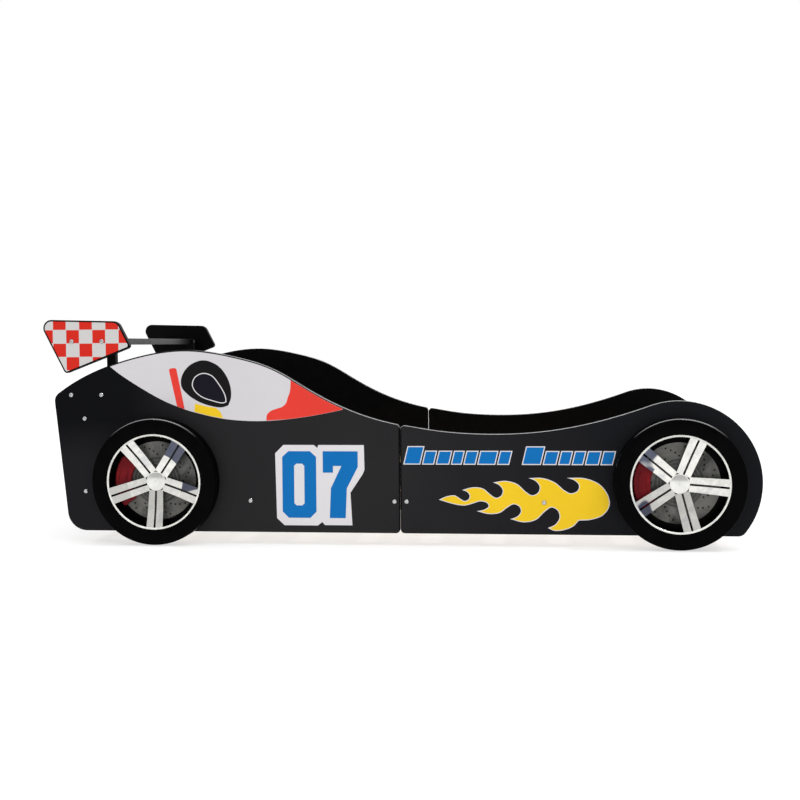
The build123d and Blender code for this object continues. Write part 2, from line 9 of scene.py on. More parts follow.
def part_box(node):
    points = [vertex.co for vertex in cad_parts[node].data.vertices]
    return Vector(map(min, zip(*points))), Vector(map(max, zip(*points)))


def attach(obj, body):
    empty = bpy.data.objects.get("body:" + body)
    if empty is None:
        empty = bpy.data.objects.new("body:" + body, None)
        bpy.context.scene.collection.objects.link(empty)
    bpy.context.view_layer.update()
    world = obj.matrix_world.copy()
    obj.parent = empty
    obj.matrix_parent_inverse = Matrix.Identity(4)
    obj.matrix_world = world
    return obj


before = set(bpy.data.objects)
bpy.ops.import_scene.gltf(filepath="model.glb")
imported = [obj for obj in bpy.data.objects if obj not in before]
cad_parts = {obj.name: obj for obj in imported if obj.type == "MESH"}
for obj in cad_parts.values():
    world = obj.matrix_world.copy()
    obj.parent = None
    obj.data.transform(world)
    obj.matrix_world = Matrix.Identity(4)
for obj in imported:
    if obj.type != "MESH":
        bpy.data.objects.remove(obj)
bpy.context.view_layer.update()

# Metres in the scene. Shapes printed on the panels are drawn in millimetres: "along" is a distance
# from the tail of the side panels, and "height" a distance from the floor.
MM = 0.001
SEAM_ALONG = 792
RIGHT, LEFT = -1, 1
SIDES = {"right": RIGHT, "left": LEFT}

rear_panel_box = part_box("right_rear_side_panel")
front_panel_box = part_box("right_front_side_panel")
SEAM = (rear_panel_box[1].x + front_panel_box[0].x) / 2
TAIL = SEAM - SEAM_ALONG * MM
FACE = -rear_panel_box[0].y
WHEEL_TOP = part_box("right_rear_tyre")[1].z

# ---------------------------------------------------------------- materials


def srgb(red, green, blue):
    """A colour on the screen's 0 to 255 scale, as linear light."""
    levels = []
    for value in (red, green, blue):
        share = value / 255
        levels.append(share / 12.92 if share <= 0.04045 else ((share + 0.055) / 1.055) ** 2.4)
    return (*levels, 1)


def shaded(colour, share):
    """A colour made darker, or lighter where the share is above 1."""
    return [part * share for part in colour[:3]] + [1]


class Paint:
    """A node material, built a node at a time. It reads its place from the piece's own coordinates."""

    def __init__(self, name, **sockets):
        self.material = bpy.data.materials.new(name)
        self.material.use_nodes = True
        self.tree = self.material.node_tree
        self.tree.nodes.clear()
        self.shader = self.node("ShaderNodeBsdfPrincipled")
        output = self.node("ShaderNodeOutputMaterial")
        self.tree.links.new(self.shader.outputs["BSDF"], output.inputs["Surface"])
        self.coordinates = self.node("ShaderNodeTexCoord")
        self.place = self.coordinates.outputs["Object"]
        for socket, value in sockets.items():
            self.shader.inputs[socket.replace("_", " ")].default_value = value

    def node(self, kind, **settings):
        made = self.tree.nodes.new(kind)
        for name, value in settings.items():
            setattr(made, name, value)
        return made

    def feed(self, socket, value):
        """Link an output to a socket, or set the socket to a plain value."""
        if isinstance(value, bpy.types.NodeSocket):
            self.tree.links.new(value, socket)
        else:
            socket.default_value = value

    def put(self, socket, value):
        self.feed(self.shader.inputs[socket], value)

    def stretched(self, stretch):
        mapping = self.node("ShaderNodeMapping")
        self.feed(mapping.inputs["Vector"], self.place)
        mapping.inputs["Scale"].default_value = stretch
        return mapping.outputs["Vector"]

    def noise(self, scale, detail=3.0, stretch=None, roughness=0.5, distortion=0.0):
        made = self.node("ShaderNodeTexNoise")
        self.feed(made.inputs["Vector"], self.stretched(stretch) if stretch else self.place)
        made.inputs["Scale"].default_value = scale
        made.inputs["Detail"].default_value = detail
        made.inputs["Roughness"].default_value = roughness
        made.inputs["Distortion"].default_value = distortion
        return made.outputs["Fac"]

    def sums(self, operation, first, second=0.0):
        made = self.node("ShaderNodeMath", operation=operation)
        self.feed(made.inputs[0], first)
        self.feed(made.inputs[1], second)
        return made.outputs[0]

    def times(self, first, second):
        return self.sums("MULTIPLY", first, second)

    def levels(self, value, low, high, start, end):
        """Value taken from low..high to start..end, and held at the ends."""
        made = self.node("ShaderNodeMapRange")
        for socket, amount in zip(made.inputs, (value, low, high, start, end)):
            self.feed(socket, amount)
        return made.outputs["Result"]

    def mix(self, share, first, second):
        made = self.node("ShaderNodeMix", data_type="RGBA")
        colours = [socket for socket in made.inputs if socket.type == "RGBA"]
        self.feed(made.inputs["Factor"], share)
        self.feed(colours[0], first)
        self.feed(colours[1], second)
        return next(socket for socket in made.outputs if socket.type == "RGBA")

    def bump(self, height, depth, strength=1.0, under=None):
        made = self.node("ShaderNodeBump")
        self.feed(made.inputs["Height"], height)
        made.inputs["Distance"].default_value = depth
        made.inputs["Strength"].default_value = strength
        if under:
            self.feed(made.inputs["Normal"], under)
        self.put("Normal", made.outputs["Normal"])
        return made.outputs["Normal"]

    def parts(self, vector):
        """A vector's X, Y and Z."""
        made = self.node("ShaderNodeSeparateXYZ")
        self.feed(made.inputs[0], vector)
        return made.outputs["X"], made.outputs["Y"], made.outputs["Z"]

    def facing(self):
        """Which way the surface faces, as X, Y and Z."""
        return self.parts(self.node("ShaderNodeNewGeometry").outputs["True Normal"])

    def edge_highlight(self):
        """The rounded edges of a part that stands along the bed, where they face upwards: the mask of a
        painted highlight.
        """
        _, sideways, upwards = self.facing()
        tilt = self.sums("ABSOLUTE", sideways)
        turned_out = self.levels(tilt, 0.05, 0.25, 0, 1)
        not_flat = self.levels(tilt, 0.88, 0.98, 1, 0)
        return self.times(self.times(turned_out, not_flat), self.levels(upwards, 0.05, 0.4, 0, 1))

    def radius(self):
        """Distance from a wheel part's own axle, as a share of the part's width."""
        shifted = self.node("ShaderNodeVectorMath", operation="SUBTRACT")
        self.feed(shifted.inputs[0], self.coordinates.outputs["Generated"])
        shifted.inputs[1].default_value = (0.5, 0.5, 0.5)
        flat = self.node("ShaderNodeVectorMath", operation="MULTIPLY")
        self.feed(flat.inputs[0], shifted.outputs[0])
        flat.inputs[1].default_value = (1, 0, 1)
        length = self.node("ShaderNodeVectorMath", operation="LENGTH")
        self.feed(length.inputs[0], flat.outputs[0])
        return length.outputs["Value"]


def board_paint():
    """Satin black laminate on a cross board, scuffed near the floor and duller on its ends."""
    paint = Paint("black_laminate", Specular_IOR_Level=0.16)
    smudge = paint.noise(38, 5, roughness=0.65)
    _, sideways, _ = paint.facing()
    away_from_ends = paint.levels(paint.sums("ABSOLUTE", sideways), 0.3, 0.9, 1, 0)
    base = paint.mix(paint.noise(5, 4), (0.003, 0.003, 0.0032, 1), (0.006, 0.0058, 0.006, 1))
    base = paint.mix(paint.levels(paint.noise(1400, 2), 0.55, 0.8, 0, 0.35), base, (0.02, 0.019, 0.021, 1))
    paint.put("Base Color", worn_low(paint, base))
    satin = paint.levels(smudge, 0.3, 0.7, 0.38, 0.46)
    paint.put("Roughness", paint.sums("SUBTRACT", satin, paint.times(away_from_ends, 0.12)))
    peel = paint.bump(paint.noise(700, 2), 0.00002, 0.25)
    paint.bump(smudge, 0.0002, 0.03, peel)
    return paint.material


def worn_low(paint, base):
    """The colour with pale scuffs, most of them near the floor."""
    scuffs = paint.levels(paint.noise(90, 6, (1, 1, 5), 0.7), 0.62, 0.78, 0, 1)
    low = paint.levels(paint.parts(paint.place)[2], 0.03, 0.16, 0.5, 0.03)
    return paint.mix(paint.times(scuffs, low), base, (0.06, 0.058, 0.058, 1))


# Where the painted sheen, the painted shade, the bare seam border and the painted highlights on the side
# panels change, in metres along the bed and above the floor
SHEEN_MIDDLE = -0.2
TAIL_SHADE = (-0.6, -0.46)
TAIL_SHADE_FOOT = (0.19, 0.28)
SEAM_BORDER = (0.003, 0.0038)
HIGHLIGHT_START = (-0.45, -0.37)


def panel_paint(name, highlight_strength):
    """Side panels: a charcoal print outside with a painted sheen, so that it darkens to its ends, a painted
    shade high on the tail, bare black inside and beside the seam, and painted highlights on upward faces
    and rounded edges from partway along the bed to its front."""
    paint = Paint(name, Specular_IOR_Level=0.05)
    cloud = paint.noise(5, 4)
    smudge = paint.noise(38, 5, roughness=0.65)
    along, across, height = paint.parts(paint.place)
    _, sideways, upwards = paint.facing()
    inside = paint.levels(paint.times(sideways, paint.sums("SIGN", across)), -0.2, 0.6, 1, 0)
    # Painted sheen: the outer print is made lighter in the middle of the bed and darker towards its ends.
    from_middle = paint.sums("ABSOLUTE", paint.sums("SUBTRACT", along, SHEEN_MIDDLE))
    fade = paint.levels(paint.sums("ADD", from_middle, paint.times(cloud, 0.2)), 0.3, 0.78, 0, 1)
    print_and_painted_light = paint.mix(fade, (0.0205, 0.0195, 0.0205, 1), (0.0066, 0.0070, 0.0094, 1))
    print_and_painted_light = paint.mix(paint.levels(cloud, 0.35, 0.65, 0, 0.3), print_and_painted_light, (0.012, 0.0122, 0.0145, 1))
    # Painted shade: the print is darkened high on the tail, above the rear wheel.
    high = paint.levels(height, *TAIL_SHADE_FOOT, 0, 0.85)
    tail = paint.times(paint.levels(along, *TAIL_SHADE, 1, 0), high)
    print_and_painted_light = paint.mix(tail, print_and_painted_light, (0.0008, 0.0010, 0.0022, 1))
    bare = paint.mix(cloud, (0.0006, 0.0006, 0.0008, 1), (0.0018, 0.0018, 0.0021, 1))
    from_seam = paint.sums("ABSOLUTE", paint.sums("SUBTRACT", along, SEAM))
    border = paint.levels(from_seam, *SEAM_BORDER, 1, 0)
    base = paint.mix(paint.sums("MAXIMUM", inside, border), print_and_painted_light, bare)
    base = paint.mix(paint.levels(paint.noise(1400, 2), 0.55, 0.8, 0, 0.12), base, (0.03, 0.029, 0.031, 1))
    # Painted highlight: upward faces and rounded edges made paler, from partway along the bed to its front.
    highlight_reach = paint.levels(along, *HIGHLIGHT_START, 0, highlight_strength)
    top = paint.levels(upwards, 0.5, 0.9, 0, 0.9)
    base = paint.mix(paint.times(top, highlight_reach), base, (0.05, 0.05, 0.052, 1))
    base = paint.mix(paint.times(paint.edge_highlight(), highlight_reach), base, (0.55, 0.55, 0.56, 1))
    paint.put("Base Color", worn_low(paint, base))
    paint.put("Roughness", paint.levels(smudge, 0.3, 0.7, 0.3, 0.46))
    peel = paint.bump(paint.noise(700, 2), 0.00004, 0.35)
    paint.bump(smudge, 0.0002, 0.05, peel)
    return paint.material


def timber_paint(name, grain, light, dark):
    """Planed pine with its grain along one axis."""
    paint = Paint(name, Specular_IOR_Level=0.35)
    along = [9 if axis != grain else 0.7 for axis in range(3)]
    streak = paint.noise(9, 5, along, 0.6, 0.6)
    fine = paint.noise(60, 4, along, 0.6)
    patch = paint.noise(3, 2)
    rings = paint.levels(streak, 0.38, 0.66, 0, 1)
    base = paint.mix(rings, light, dark)
    base = paint.mix(paint.levels(fine, 0.5, 0.75, 0, 0.45), base, shaded(dark, 0.72))
    base = paint.mix(paint.levels(patch, 0.35, 0.7, 0, 0.25), base, shaded(light, 1.08))
    paint.put("Base Color", base)
    paint.put("Roughness", paint.levels(fine, 0.3, 0.7, 0.48, 0.66))
    paint.bump(paint.sums("ADD", fine, paint.times(streak, 0.5)), 0.0004, 0.3)
    return paint.material


def ink_paint(name, colour, worn=0.9, gloss=0.3):
    """Printed film: even colour with a faint print grain and a satin lacquer."""
    paint = Paint(name, Specular_IOR_Level=gloss)
    cloud = paint.noise(7, 3)
    grain = paint.noise(900, 2)
    rub = paint.levels(paint.noise(55, 6, roughness=0.7), 0.6, 0.85, 0, 0.5)
    darker = shaded(colour, worn)
    base = paint.mix(paint.levels(cloud, 0.35, 0.65, 0, 0.5), colour, darker)
    base = paint.mix(paint.levels(grain, 0.5, 0.8, 0, 0.3), base, darker)
    paint.put("Base Color", base)
    paint.put("Roughness", paint.levels(rub, 0, 0.5, 0.34, 0.5))
    paint.bump(grain, 0.00002, 0.3)
    return paint.material


# How far below a tyre's top the painted highlight on its outer edge starts, and where it is full, in metres
CROWN_DROPS = (0.042, 0.012)


def tyre_paint():
    """Moulded black plastic with a fine stipple and faint turned rings, and a pale painted highlight along
    its crown's edge.
    """
    paint = Paint("tyre_black", Specular_IOR_Level=0.025)
    dust = paint.noise(30, 5, roughness=0.6)
    stipple = paint.noise(1100, 2)
    radius = paint.radius()
    rings = paint.sums("SINE", paint.times(radius, 420))
    dusty = paint.levels(dust, 0.4, 0.75, 0, 1)
    base = paint.mix(dusty, (0.0006, 0.0006, 0.0007, 1), (0.0016, 0.0015, 0.0015, 1))
    height = paint.parts(paint.place)[2]
    # Painted highlight: a pale arc on the outer edge of the tyre's crown, strongest at the top.
    crown = paint.levels(height, *[WHEEL_TOP - drop for drop in CROWN_DROPS], 0, 1)
    outer = paint.times(paint.levels(radius, 0.46, 0.48, 0, 1), crown)
    base = paint.mix(paint.times(paint.edge_highlight(), outer), base, (0.26, 0.26, 0.265, 1))
    paint.put("Base Color", base)
    paint.put("Roughness", paint.levels(dust, 0.3, 0.7, 0.26, 0.4))
    paint.bump(paint.sums("ADD", stipple, paint.times(rings, 0.12)), 0.00006, 0.5)
    return paint.material


def disc_paint():
    """Dull grey moulding, turned in fine rings: darker on its hat, with a few pale turned lines on that."""
    paint = Paint("disc_grey", Metallic=0.4, Specular_IOR_Level=0.3)
    radius = paint.radius()
    rings = paint.sums("SINE", paint.times(radius, 900))
    wobble = paint.noise(45, 4)
    streak = paint.noise(9, 4, roughness=0.6, distortion=1.2)
    base = paint.mix(wobble, (0.12, 0.118, 0.108, 1), (0.2, 0.195, 0.182, 1))
    base = paint.mix(paint.levels(streak, 0.42, 0.6, 0, 0.85), base, (0.018, 0.02, 0.018, 1))
    base = paint.mix(paint.levels(rings, -1, 1, 0, 0.25), base, (0.13, 0.133, 0.127, 1))
    hat = paint.levels(radius, 0.292, 0.3, 1, 0)
    turned = paint.levels(paint.sums("SINE", paint.times(radius, 150)), 0.2, 0.9, 0, 1)
    lines = paint.times(hat, turned)
    base = paint.mix(paint.times(hat, 0.6), base, (0.022, 0.024, 0.022, 1))
    base = paint.mix(paint.times(lines, 0.5), base, (0.14, 0.145, 0.135, 1))
    paint.put("Base Color", base)
    paint.put("Roughness", paint.levels(streak, 0.3, 0.7, 0.3, 0.5))
    height = paint.sums("ADD", lines, paint.sums("ADD", rings, wobble))
    paint.bump(height, 0.00008, 0.5)
    return paint.material


def calliper_paint():
    """Dark red moulding with a thin coat and a few brighter clouds."""
    paint = Paint("calliper_red", Specular_IOR_Level=0.06, Coat_Weight=0.03, Coat_Roughness=0.15)
    cloud = paint.noise(60, 4)
    base = paint.mix(cloud, (0.11, 0.004, 0.008, 1), (0.2, 0.008, 0.012, 1))
    base = paint.mix(paint.levels(paint.noise(22, 3), 0.5, 0.7, 0, 0.6), base, (0.34, 0.016, 0.016, 1))
    paint.put("Base Color", base)
    paint.put("Roughness", paint.levels(cloud, 0.3, 0.7, 0.24, 0.4))
    paint.bump(paint.noise(500, 3), 0.00008, 0.4)
    return paint.material


def rim_paint():
    """Bright plating on the rims, with painted reflections: darker, bluer patches on the spokes' outer
    halves.
    """
    paint = Paint("rim_chrome", Metallic=1.0)
    smear = paint.noise(70, 5, roughness=0.6)
    # Painted reflections: dark blue patches, kept to the spokes' outer halves.
    patch = paint.levels(paint.noise(10.5, 1), 0.535, 0.555, 0, 1)
    radius = paint.radius()
    within = paint.levels(radius, 0.474, 0.476, 1, 0)
    outer = paint.times(paint.levels(radius, 0.290, 0.294, 0, 1), within)
    base = paint.mix(paint.levels(smear, 0.35, 0.7, 0, 1), (0.80, 0.79, 0.74, 1), (0.62, 0.62, 0.60, 1))
    base = paint.mix(paint.levels(paint.noise(26, 2), 0.6, 0.66, 0, 0.35), base, (0.42, 0.43, 0.50, 1))
    base = paint.mix(paint.times(paint.times(outer, patch), 0.9), base, (0.02, 0.03, 0.075, 1))
    paint.put("Base Color", base)
    paint.put("Roughness", paint.levels(smear, 0.3, 0.75, 0.2, 0.32))
    paint.bump(paint.sums("ADD", smear, paint.times(paint.noise(420, 3), 0.3)), 0.00012, 0.25)
    return paint.material


def metal_paint(name, light, dark, low, high, scale):
    """Plated metal, or plated plastic, with slight waves and smears."""
    paint = Paint(name, Metallic=1.0)
    smear = paint.noise(scale, 5, roughness=0.6)
    spots = paint.noise(420, 3)
    paint.put("Base Color", paint.mix(paint.levels(smear, 0.35, 0.7, 0, 1), light, dark))
    paint.put("Roughness", paint.levels(smear, 0.3, 0.75, low, high))
    paint.bump(paint.sums("ADD", smear, paint.times(spots, 0.3)), 0.00012, 0.25)
    return paint.material


def plastic_paint(name, light, dark, gloss=0.45):
    """Plain hard plastic, paint or painted steel, with a faint mottle."""
    paint = Paint(name, Specular_IOR_Level=gloss)
    mottle = paint.noise(260, 4)
    paint.put("Base Color", paint.mix(mottle, light, dark))
    paint.put("Roughness", paint.levels(mottle, 0.3, 0.7, 0.36, 0.55))
    paint.bump(paint.noise(900, 2), 0.00005, 0.4)
    return paint.material


BOARD = board_paint()
PANEL = panel_paint("panel_print", 1.0)
PLATE = panel_paint("plate_print", 0.02)
POST = plastic_paint("post_black", (0.002, 0.002, 0.002, 1), (0.004, 0.004, 0.004, 1), 0.05)
PINE = ((0.66, 0.47, 0.27, 1), (0.47, 0.28, 0.125, 1))
TIMBER_ALONG = timber_paint("pine_along", 0, *PINE)
TIMBER_ACROSS = timber_paint("pine_across", 1, (0.72, 0.55, 0.34, 1), (0.53, 0.34, 0.17, 1))
TIMBER_UPRIGHT = timber_paint("pine_upright", 2, *PINE)
TYRE = tyre_paint()
DISC = disc_paint()
CALLIPER = calliper_paint()
RIM = rim_paint()
CAP = metal_paint("cap_chrome", (0.74, 0.74, 0.71, 1), (0.64, 0.64, 0.62, 1), 0.1, 0.22, 40)
BOLT = metal_paint("bolt_chrome", (0.58, 0.58, 0.58, 1), (0.36, 0.36, 0.37, 1), 0.12, 0.28, 300)
ZINC = metal_paint("zinc_plate", (0.60, 0.60, 0.58, 1), (0.42, 0.43, 0.44, 1), 0.28, 0.5, 120)
SCREW = plastic_paint("black_screw", (0.02, 0.02, 0.022, 1), (0.045, 0.044, 0.044, 1))
GLIDE = plastic_paint("glide_black", (0.014, 0.014, 0.015, 1), (0.03, 0.03, 0.031, 1))
WHITE_INK = ink_paint("white_print", srgb(219, 216, 219), 0.95)
LENS_INK = ink_paint("pale_print", srgb(209, 206, 209), 0.95)
CHECK_WHITE_INK = ink_paint("check_white_print", srgb(204, 202, 200), 0.94, gloss=0.12)
CHECK_RED_INK = ink_paint("check_red_print", srgb(208, 40, 26), gloss=0.12)
RED_INK = ink_paint("red_print", srgb(226, 52, 38))
BLUE_INK = ink_paint("blue_print", srgb(0, 108, 180), gloss=0.12)
YELLOW_INK = ink_paint("yellow_print", srgb(240, 199, 34), gloss=0.12)
HELMET_INK = ink_paint("charcoal_print", srgb(24, 23, 24), gloss=0.05)
GLASS_INK = ink_paint("slate_print", srgb(24, 22, 32), gloss=0.05)

NODE_PAINTS = (
    ("_tyre", TYRE), ("_brake_disc", DISC), ("_calliper", CALLIPER), ("_rim", RIM), ("_hub_cap", CAP),
    ("_rail", TIMBER_ALONG), ("_leg", TIMBER_UPRIGHT), ("_glides", GLIDE), ("_seam_plate", ZINC),
    ("_side_panel", PANEL), ("_spoiler_plate", PLATE), ("_spoiler_post", POST),
    ("connector_bolts", BOLT), ("rail_bolts", BOLT), ("_nuts", ZINC), ("_spindles", ZINC),
    ("_screws", SCREW),
)
for name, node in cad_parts.items():
    paint = TIMBER_ACROSS if name.startswith("slat_") else BOARD
    for ending, own in NODE_PAINTS:
        if name.endswith(ending):
            paint = own
    node.data.materials.clear()
    node.data.materials.append(paint)

# ---------------------------------------------------------------- printed shapes
# In millimetres: the thickness of one printing, how far a film reaches into the board, and how near to
# the panels' outer face a point lies to be on it
FILM = 0.14
SINK = 0.3
ON_FACE = 0.02
# The longest mitre is 1 / MITRE_LEAST of the distance that an outline moves. Points that end up nearer
# to the old outline than this share of the distance are dropped.
MITRE_LEAST = 0.4
KEPT_SHARE = 0.96


def smooth(points, gap=2.0):
    """A smooth run through the points, up to its last one, which the next run starts with."""
    points = [Vector(point) for point in points]
    ends = [2 * points[0] - points[1], *points, 2 * points[-1] - points[-2]]
    run = []
    for before, start, end, after in zip(ends, ends[1:], ends[2:], ends[3:]):
        first = (start - before).length ** 0.5
        second = first + (end - start).length ** 0.5
        third = second + (after - end).length ** 0.5
        steps = max(1, round((end - start).length / gap))
        for step in range(steps):
            now = first + (second - first) * step / steps
            a = before.lerp(start, now / first)
            b = start.lerp(end, (now - first) / (second - first))
            c = end.lerp(after, (now - second) / (third - second))
            left = a.lerp(b, now / second)
            right = b.lerp(c, (now - first) / (third - first))
            run.append(left.lerp(right, (now - first) / (second - first)))
    return run


def enclosed(outline):
    """The area inside an outline, negative where it runs clockwise."""
    points = np.array([tuple(point) for point in outline], float)
    ahead = np.roll(points, -1, axis=0)
    return (points[:, 0] * ahead[:, 1] - ahead[:, 0] * points[:, 1]).sum() / 2


def turned_left(outline):
    """The outline as an array, anticlockwise."""
    points = np.array([tuple(point) for point in outline], float)
    return points if enclosed(outline) > 0 else points[::-1]


def grow(outline, distance):
    """The outline moved outwards, or inwards if distance is negative, without loops at its thin tips."""
    points = turned_left(outline)
    ahead = np.roll(points, -1, axis=0) - points
    ahead /= np.linalg.norm(ahead, axis=1, keepdims=True)
    outward = np.stack([ahead[:, 1], -ahead[:, 0]], axis=1)
    bisector = outward + np.roll(outward, 1, axis=0)
    bisector /= np.maximum(np.linalg.norm(bisector, axis=1, keepdims=True), 1e-6)
    mitre = 1 / np.maximum((bisector * outward).sum(1), MITRE_LEAST)
    moved = points + distance * bisector * mitre[:, None]
    sides = np.roll(points, -1, axis=0) - points
    offsets = moved[:, None, :] - points[None, :, :]
    share = np.clip((offsets * sides).sum(2) / (sides**2).sum(1), 0, 1)
    nearest = np.linalg.norm(offsets - share[:, :, None] * sides, axis=2).min(1)
    return [Vector(point) for point in moved[nearest > KEPT_SHARE * abs(distance)]]


def film(name, outline, layer, paint, side):
    """A printed shape on one side's panels: a thin closed sheet, this many printings deep."""
    points = turned_left(outline)
    form = bmesh.new()
    rings = []
    for depth in (-SINK, layer * FILM):
        y = side * (FACE + depth * MM)
        rings.append([form.verts.new((TAIL + u * MM, y, v * MM)) for u, v in points])
    form.faces.new(rings[0])
    form.faces.new(rings[1])
    for index in range(len(points)):
        low, high = rings[0][index - 1], rings[0][index]
        form.faces.new((low, high, rings[1][index], rings[1][index - 1]))
    bmesh.ops.recalc_face_normals(form, faces=form.faces)
    return piece(name, form, paint, "root")


def piece(name, form, paint, body):
    """A new object from a finished mesh, which rides on a body."""
    mesh = bpy.data.meshes.new(name)
    form.to_mesh(mesh)
    form.free()
    made = bpy.data.objects.new(name, mesh)
    bpy.context.scene.collection.objects.link(made)
    mesh.materials.append(paint)
    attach(made, body)
    return made


def face_rim(node):
    """The sides round a CAD board's outer face and its holes, as pairs of (along, height)."""
    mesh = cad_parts[node].data
    places = [
        (round((spot.co.x - TAIL) / MM, 3), round(spot.co.z / MM, 3))
        if abs(abs(spot.co.y) - FACE) < ON_FACE * MM else None
        for spot in mesh.vertices
    ]
    uses = {}
    for polygon in mesh.polygons:
        corners = [places[index] for index in polygon.vertices]
        if None not in corners:
            for side in zip(corners, corners[1:] + corners[:1]):
                key = (min(side), max(side))
                uses[key] = uses.get(key, 0) + 1
    return [side for side, count in uses.items() if count == 1]


def top_edge(rim, start, end, drop, step=4):
    """A run just below a board's top edge, between two distances from the tail."""
    run = []
    count = round(abs(end - start) / step)
    for index in range(count + 1):
        along = start + (end - start) * index / count
        heights = [
            a[1] + (b[1] - a[1]) * (along - a[0]) / (b[0] - a[0])
            for a, b in rim if a[0] < b[0] and a[0] <= along <= b[0]
        ]
        run.append(Vector((along, max(heights) - drop)))
    return run


def convex_hull(points):
    """The outline round a set of points, anticlockwise."""
    points = sorted(set(points))
    halves = []
    for order in (points, points[::-1]):
        half = []
        for u, v in order:
            while len(half) > 1:
                (a, b), (c, d) = half[-2:]
                if (c - a) * (v - b) - (d - b) * (u - a) > 1e-6:
                    break
                half.pop()
            half.append((u, v))
        halves += half[:-1]
    return [Vector(point) for point in halves]


def clipped(square, hull):
    """The part of a square inside a convex outline."""
    kept = [Vector(point) for point in square]
    for start, end in zip(hull, hull[1:] + hull[:1]):
        side = end - start
        cut = []
        for a, b in zip(kept, kept[1:] + kept[:1]):
            depth_a = side.x * (a.y - start.y) - side.y * (a.x - start.x)
            depth_b = side.x * (b.y - start.y) - side.y * (b.x - start.x)
            if depth_a >= 0:
                cut.append(a)
            if depth_a * depth_b < 0:
                cut.append(a.lerp(b, depth_a / (depth_a - depth_b)))
        kept = cut
    return kept


# Cockpit: a pale lens under the panel's top edge, with a strip, a driver's helmet and a bright front corner
LENS_START = 130
LENS_END = 664
LENS_DROP = 2.4
LENS_LOWER = [
    (LENS_END, 304), (626, 296), (593, 290), (542, 283), (492, 279), (445, 279), (391, 284),
    (331, 297), (304, 305), (256, 324), (205, 352), (155, 384), (LENS_START, 403.2),
]
STRIP = [(268, 394), (272, 397.5), (282, 398.5), (285.5, 396), (303.5, 305.6), (295, 308.3), (286, 311.8)]
HELMET = [
    (404, 314), (410, 330), (410, 352), (401, 379), (380, 404), (347, 415.5), (316, 404),
    (298, 380), (297, 356), (313, 337), (337, 322), (365, 312.5), (389, 309.5), (404, 314),
]
VISOR = [
    (399, 322), (397, 336), (384, 360), (366, 381), (346, 386), (328, 377), (322, 360),
    (329, 345), (344, 333), (366, 325), (391, 319.5), (399, 322),
]
COLLAR = [
    (326, 299.5), (327, 318), (352, 312), (376, 308), (385, 300), (391, 287.5), (391.5, 285), (360, 290.5),
]
VISOR_LINE = 1.1
CORNER_START = 547
CORNER_END = LENS_END - 1
CORNER_DROP = LENS_DROP + 0.2
CORNER_LOWER = [(LENS_END - 0.4, 304.2), (626, 296.3), (593, 290.3), (542, 283.3), (491, 279.6)]
CORNER_BACK = [
    CORNER_LOWER[-1], (492, 292), (500, 300.5), (512, 305.5), (528, 311), (536, 319), (540, 331),
    (CORNER_START - 2, 345), (CORNER_START, 367),
]

# Race number and its backing
NUMBER_MIDDLE = 611
NUMBER_BACKING = [
    (529, 225), (598, 225), (606, 218), (608, 225), (711, 225), (712, 170), (708, 160), (680, 118),
    (684, 45), (622, 45), (616, 52), (606, 44), (530, 44), (513, 60), (510, 206),
]
NOUGHT = [(540, 211), (589, 211), (603, 198), (603, 75), (589, 61), (540, 61), (526, 75), (526, 198)]
NOUGHT_HOLE = [(558, 183), (571, 183), (576, 178), (576, 94), (571, 89), (558, 89), (553, 94), (553, 178)]
SEVEN = [
    (618, 211), (697, 211), (697, 176), (672, 128), (669, 61), (633, 61),
    (636, 128), (660, 178), (641, 178), (641, 163), (618, 163),
]

# Slanted bars in two groups, where a sponsor's name would go
BAR_SLANT = 0.24
BAR_FOOT = 182
BAR_OUTLINE = 2.2
BAR_GAP = 3.6
FIRST_BAR_HEIGHT = 41
BAR_HEIGHT = 31
# Where each group starts, and its bars' widths
BAR_GROUPS = (
    (799, (38, 27, 30, 24, 27, 40, 27)),
    (1061, (42, 30, 26, 25, 30, 27)),
)

# Flame, licking back from the front wheel: a round nose, and licks that all follow one pattern
FLAME_LINE = 1.7
FLAME_TIP = (878, 104)
UPPER_LICKS = [(930, 126), (998, 143), (1076, 153), (1160, 154)]
LOWER_LICKS = [(962, 79), (1036, 62), (1118, 43)]
FLAME_NOSE = [
    UPPER_LICKS[-1], (1200, 153), (1232, 139), (1250, 114), (1252, 92), (1238, 72), (1212, 62), (1186, 60),
]
FLAME_CHIN = [FLAME_NOSE[-1], (1172, 46), (1150, 38), (1132, 37), LOWER_LICKS[-1]]
# Where the flame's waist starts, above and below, and its climb from lick to lick
UPPER_WAIST = (97, 5.5)
LOWER_WAIST = (105, -4)
# One lick: shares of the distance to the next tip, and of the height from the flame's waist to its tips
LICK = [
    (0, 1), (0.36, 1), (0.68, 0.76), (0.93, 0.33), (1.1, 0.16), (1.27, 0.3), (1.31, 0.58), (1.2, 0.85),
    (1, 1),
]

# Checks on the spoiler's plates: squares on a grid, clipped to the plate inside its black border. A
# clipped square with less area than CHECK_LEAST is left out.
CHECK_PITCH = 30.7
CHECK_START = -1.5
CHECK_TOP = 486
CHECK_EDGE = 3
CHECK_GAP = 0.5
CHECK_LEAST = 25
CHECK_REACH = range(-2, 7)


def shape(*runs):
    """An outline from runs that each stop short of the next one's start."""
    return [point for run in runs for point in run]


def flipped(outline, middle):
    """The outline turned round, so that a number reads the right way on the other side."""
    return [Vector((2 * middle - point[0], point[1])) for point in outline]


